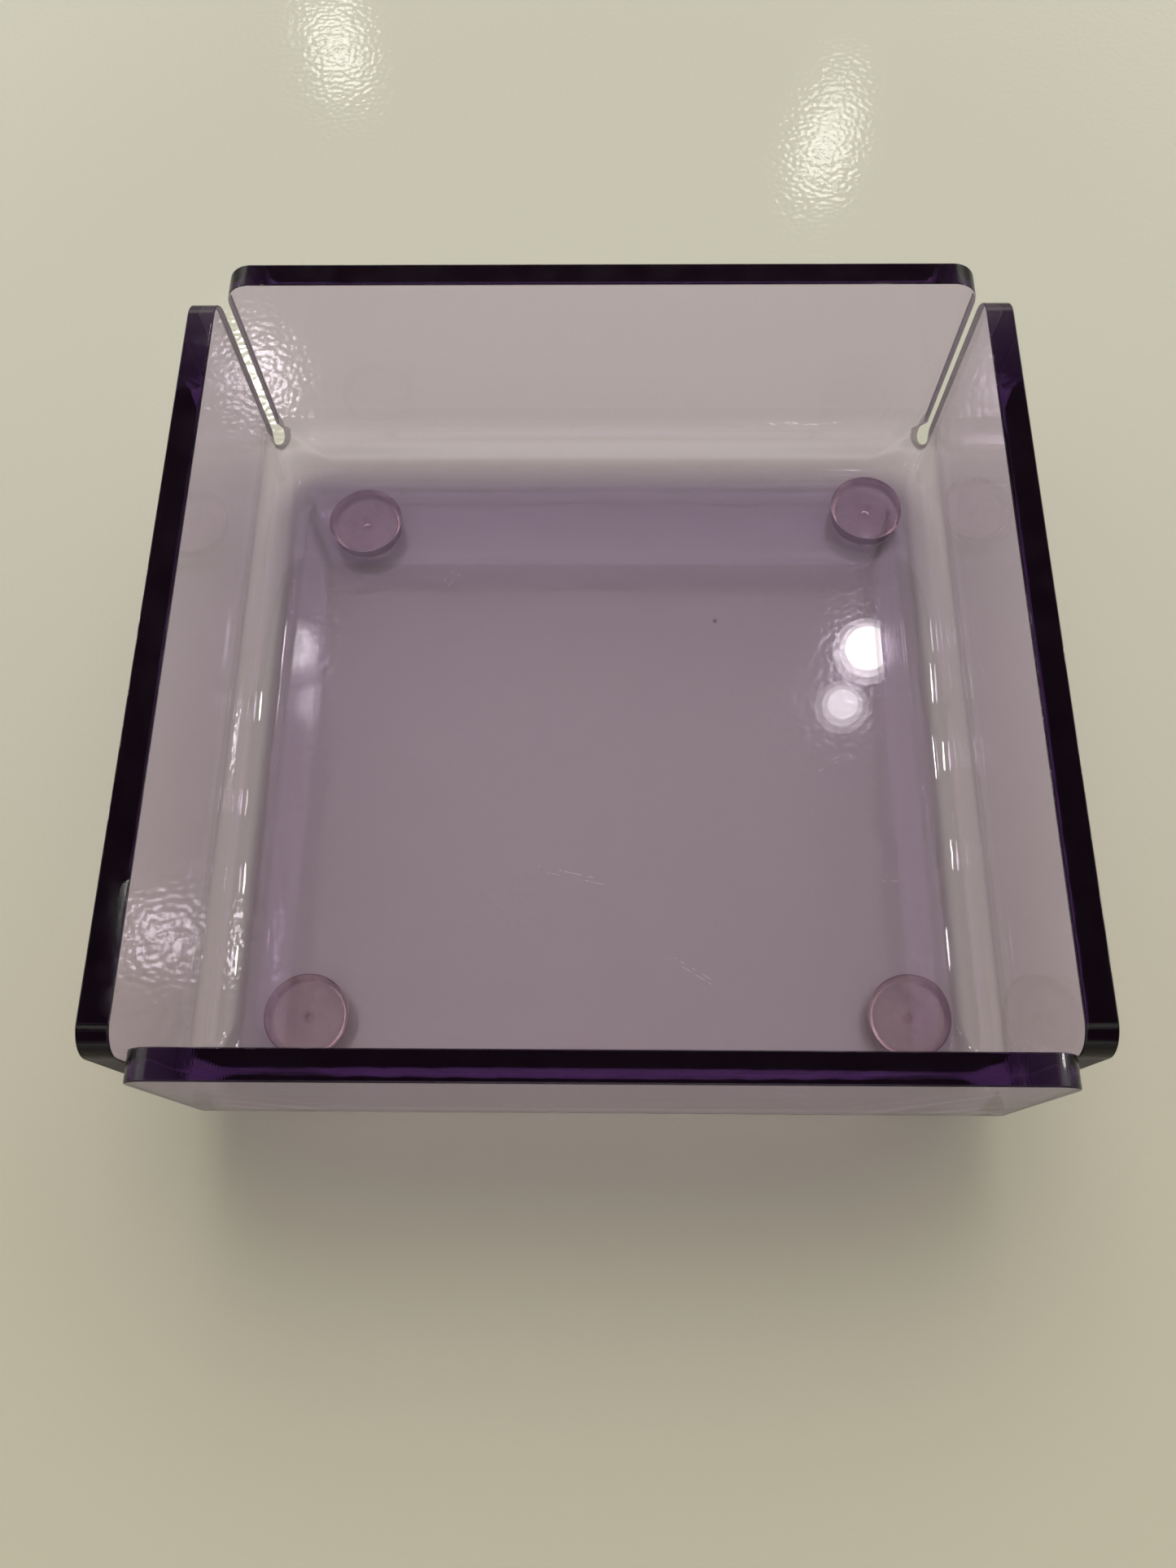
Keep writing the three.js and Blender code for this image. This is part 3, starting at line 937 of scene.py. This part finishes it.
def table_top():
    """Glossy paint with painted shade, darker towards the front, whose fine peel breaks the glints
    into dots.
    """
    material, nodes = new_material("table_top")
    place = nodes.add("ShaderNodeTexCoord").outputs["Object"]
    depth = nodes.add("ShaderNodeSeparateXYZ", {0: place}).outputs["Y"]
    # Darker towards the front: painted shade.
    back = nodes.ramp(depth, TABLE_FRONT_Y, TABLE_BACK_Y, 0.0, 1.0)
    peel = nodes.noise(place, *TABLE_PEEL_NOISE)
    bump = nodes.add("ShaderNodeBump", {"Height": peel, "Distance": TABLE_PEEL_DEPTH})
    inputs = {
        "Base Color": mix_colours(nodes, back, TABLE_FRONT, TABLE_BACK),
        "Roughness": TABLE_ROUGHNESS,
        "Normal": bump.outputs[0],
    }
    surface = nodes.add("ShaderNodeBsdfPrincipled", inputs).outputs[0]
    nodes.add("ShaderNodeOutputMaterial", {"Surface": surface})
    return material


def make_table():
    bpy.ops.mesh.primitive_plane_add(size=TABLE_SIZE, location=(0, 0, TABLE_LEVEL))
    table = bpy.context.object
    table.name = "table"
    table.data.materials.append(table_top())


def lobe(nodes, way, middle, edge, full=1.0):
    """How far a way lies within a round patch of the sky, 0 at its edge and 1 in its middle."""
    inputs = {0: way, 1: Vector(middle).normalized()}
    towards = nodes.add("ShaderNodeVectorMath", inputs, operation="DOT_PRODUCT")
    return nodes.ramp(towards.outputs["Value"], edge, full, 0.0, 1.0)


def mix_colours(nodes, share, low, high):
    """The colour between two others, each a socket or three numbers."""
    inputs = {0: share}
    for key, colour in ((6, low), (7, high)):
        inputs[key] = (*colour, 1) if isinstance(colour, tuple) else colour
    return nodes.add("ShaderNodeMix", inputs, data_type="RGBA").outputs[2]


def mirrored_room(nodes, way, path):
    """What the shiny faces show, without the soft lights."""
    shown = mix_colours(nodes, lobe(nodes, way, (0, 0, 1), *HORIZON_EDGES), HORIZON, SURROUNDINGS)
    for side in DIM_SIDES:
        shown = mix_colours(nodes, lobe(nodes, way, side, *DIM_SIDE_EDGES), shown, DIM_PATCH)
    shown = mix_colours(nodes, lobe(nodes, way, DIM_WAY, *DIM_EDGES), shown, DIM_PATCH)
    through = nodes.ramp(path["Transmission Depth"], *TABLE_GLOSS_DEPTHS, 0.0, 1.0)
    return mix_colours(nodes, through, shown, TABLE_GLOSS)


def make_world():
    """A dim warm room with large soft lights overhead. Rays that only shiny faces have turned
    meet the mirrored room instead, and the camera's own a plain pale background."""
    world = bpy.data.worlds.new("room")
    bpy.context.scene.world = world
    world.use_nodes = True
    nodes = Nodes(world.node_tree)
    way = nodes.add("ShaderNodeTexCoord").outputs["Generated"]
    path = nodes.add("ShaderNodeLightPath").outputs
    colour = mix_colours(nodes, lobe(nodes, way, ROOM_WAY, ROOM_EDGE), ROOM_DARK, ROOM_BRIGHT)
    for middle, edge, light in SOFT_LIGHTS:
        colour = mix_colours(nodes, lobe(nodes, way, middle, edge), colour, light)
    mirrored = nodes.math("MINIMUM", path["Glossy Depth"], 1.0)
    lit = nodes.math("MINIMUM", path["Diffuse Depth"], 1.0)
    mirrored = nodes.math("SUBTRACT", mirrored, lit, clamp=True)
    colour = mix_colours(nodes, mirrored, colour, mirrored_room(nodes, way, path))
    colour = mix_colours(nodes, path["Is Camera Ray"], colour, BACKGROUND)
    background = nodes.add("ShaderNodeBackground", {"Color": colour})
    nodes.add("ShaderNodeOutputWorld", {"Surface": background.outputs[0]})


def make_lamp(name, place, width, height, brightness):
    """A small oval lamp, turned to the tray, that only shows in the shiny faces."""
    light = bpy.data.lights.new(name, "AREA")
    light.shape = "ELLIPSE"
    light.size = width
    light.size_y = height
    area = math.pi * width * height / 4
    light.energy = brightness * math.pi * area
    light.color = LAMP_COLOUR
    lamp = bpy.data.objects.new(name, light)
    lamp.location = place
    lamp.rotation_euler = Vector(place).to_track_quat("Z", "Y").to_euler()
    lamp.visible_camera = False
    lamp.visible_diffuse = False
    bpy.context.collection.objects.link(lamp)


def make_lamps():
    for k, (place, width, brightness) in enumerate(CEILING_LAMPS):
        make_lamp(f"ceiling_{k}", place, width, width, brightness)
    for k, place in enumerate(SIDE_LAMPS):
        make_lamp(f"side_{k}", place, *SIDE_LAMP_SIZE, SIDE_LAMP_BRIGHTNESS)


def make_camera():
    camera = bpy.data.cameras.new("camera")
    camera.sensor_width = CAMERA_SENSOR
    camera.lens = CAMERA_LENS
    camera.clip_start = CAMERA_CLIP
    yaw, pitch, roll = CAMERA_YAW, CAMERA_PITCH, CAMERA_ROLL
    ahead = Vector(
        (math.sin(yaw) * math.cos(pitch), math.cos(yaw) * math.cos(pitch), -math.sin(pitch))
    )
    level = Vector((math.cos(yaw), -math.sin(yaw), 0))
    upright = level.cross(ahead)
    right = math.cos(roll) * level + math.sin(roll) * upright
    up = -math.sin(roll) * level + math.cos(roll) * upright
    turned = Matrix((right, up, -ahead)).transposed()
    eye = bpy.data.objects.new("camera", camera)
    eye.matrix_world = Matrix.Translation(CAMERA_PLACE) @ turned.to_4x4()
    bpy.context.collection.objects.link(eye)
    bpy.context.scene.camera = eye


def add_piece(piece, material, node):
    piece.data.materials.append(material)
    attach(piece, "root")
    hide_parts(node)


def node_centre(node):
    low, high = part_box(node)
    return (low[0] + high[0]) / 2, (low[1] + high[1]) / 2, 0


def make_pieces():
    add_piece(tray().make("tray"), tinted_acrylic(), "tray_body")
    rubber, adhesive = clear_rubber(), clear_adhesive()
    for place in ("front_left", "front_right", "rear_left", "rear_right"):
        centre = node_centre(f"bumper_{place}")
        bumper = smooth_lathe(f"foot_{place}", bumper_profile(), centre)
        add_piece(bumper, rubber, f"bumper_{place}")
        disc = smooth_lathe(f"glue_{place}", adhesive_profile(), centre)
        add_piece(disc, adhesive, f"adhesive_{place}")


make_pieces()
make_table()
make_world()
make_lamps()
make_camera()
bpy.context.scene.view_settings.view_transform = "Standard"
